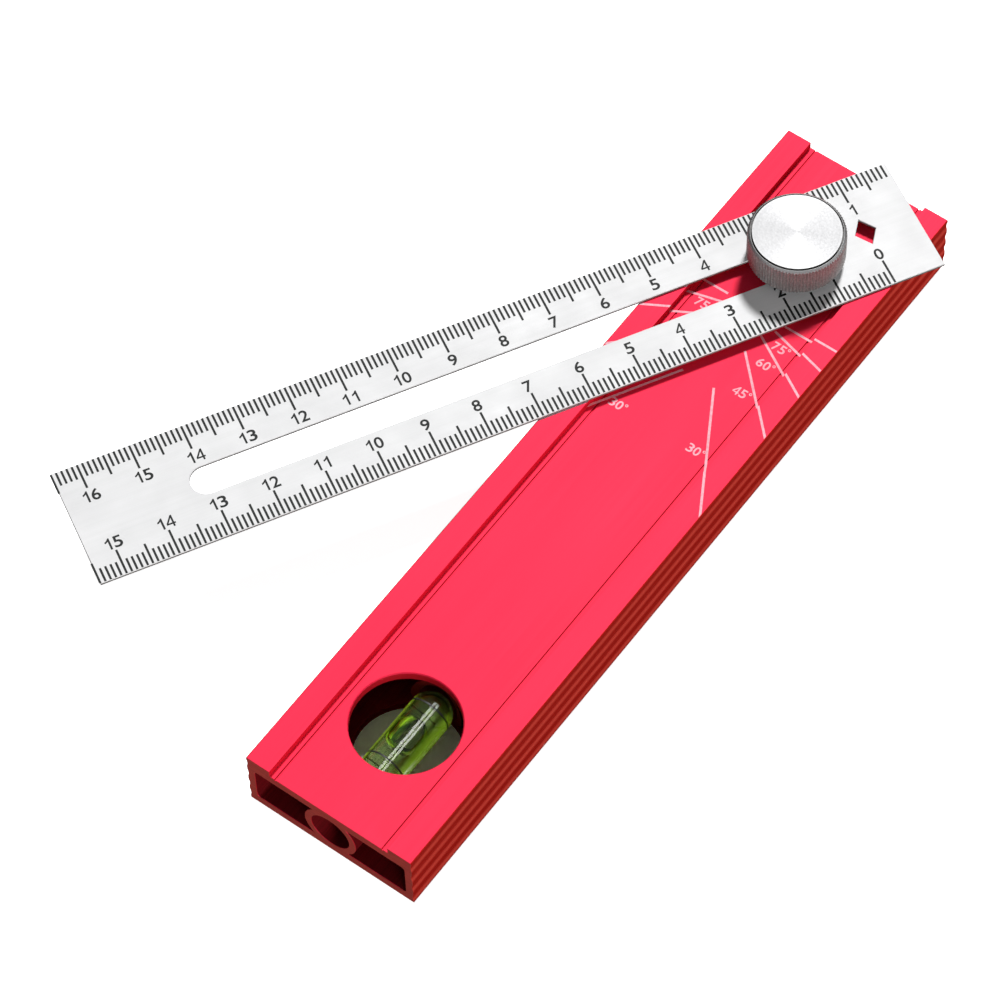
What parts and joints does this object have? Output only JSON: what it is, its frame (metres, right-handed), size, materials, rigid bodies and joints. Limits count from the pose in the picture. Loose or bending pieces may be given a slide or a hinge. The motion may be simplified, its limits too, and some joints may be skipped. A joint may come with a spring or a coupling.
{
  "type": "combination square",
  "caption": "Small combination square: a red fluted aluminium stock with a bubble level, and a slotted steel rule blade that turns and slides under a knurled clamp knob.",
  "frame": {"origin": "on the pivot axis, at the face of the stock that rests on the work", "axes": "+Y along the stock towards its pivot end, +Z out of the face that carries the blade, +X towards the stock's right edge seen from above"},
  "size_m": [0.1042, 0.1677, 0.0227],
  "materials": {
    "red_anodised": "satin red anodised",
    "blade_steel": "satin ground, dark filled graduations",
    "knob_metal": "turned face, straight knurled side",
    "plated_steel": "bright zinc plated",
    "brass": "turned",
    "vial_clear": "clear moulded acrylic",
    "vial_green": "green spirit",
    "black_plastic": "black"
  },
  "bodies": {
    "stock": {"stock": "red_anodised", "barrel_nut": "plated_steel", "vial_barrel": "vial_clear", "vial_fluid": "vial_green", "vial_end_plug": "black_plastic", "vial_marker_rings": "black_plastic"},
    "guide": {"slot_bush": "brass"},
    "blade": {"blade": "blade_steel"},
    "washer": {"clamp_washer": "plated_steel"},
    "knob": {"clamp_knob": "knob_metal", "clamp_stud": "plated_steel"}
  },
  "joints": [
    {"name": "blade_swing", "type": "hinge", "parent": "stock", "child": "guide", "pos_m": [0, 0, 0.0143], "axis": [0, 0, 1], "continuous": true},
    {"name": "blade_slide", "type": "slide", "parent": "guide", "child": "blade", "axis": [0.5, 0.866, 0], "range_m": [-0.0006, 0.1159]},
    {"name": "clamp_lift", "type": "slide", "parent": "stock", "child": "washer", "axis": [0, 0, 1], "range_m": [0, 0.0014]},
    {"name": "knob_turn", "type": "hinge", "parent": "washer", "child": "knob", "pos_m": [0, 0, 0.02], "axis": [0, 0, 1], "range_deg": [0, 720]}
  ],
  "couplings": [
    {"joint": "knob_turn", "follows": "clamp_lift", "rad_per_m": 8976}
  ]
}
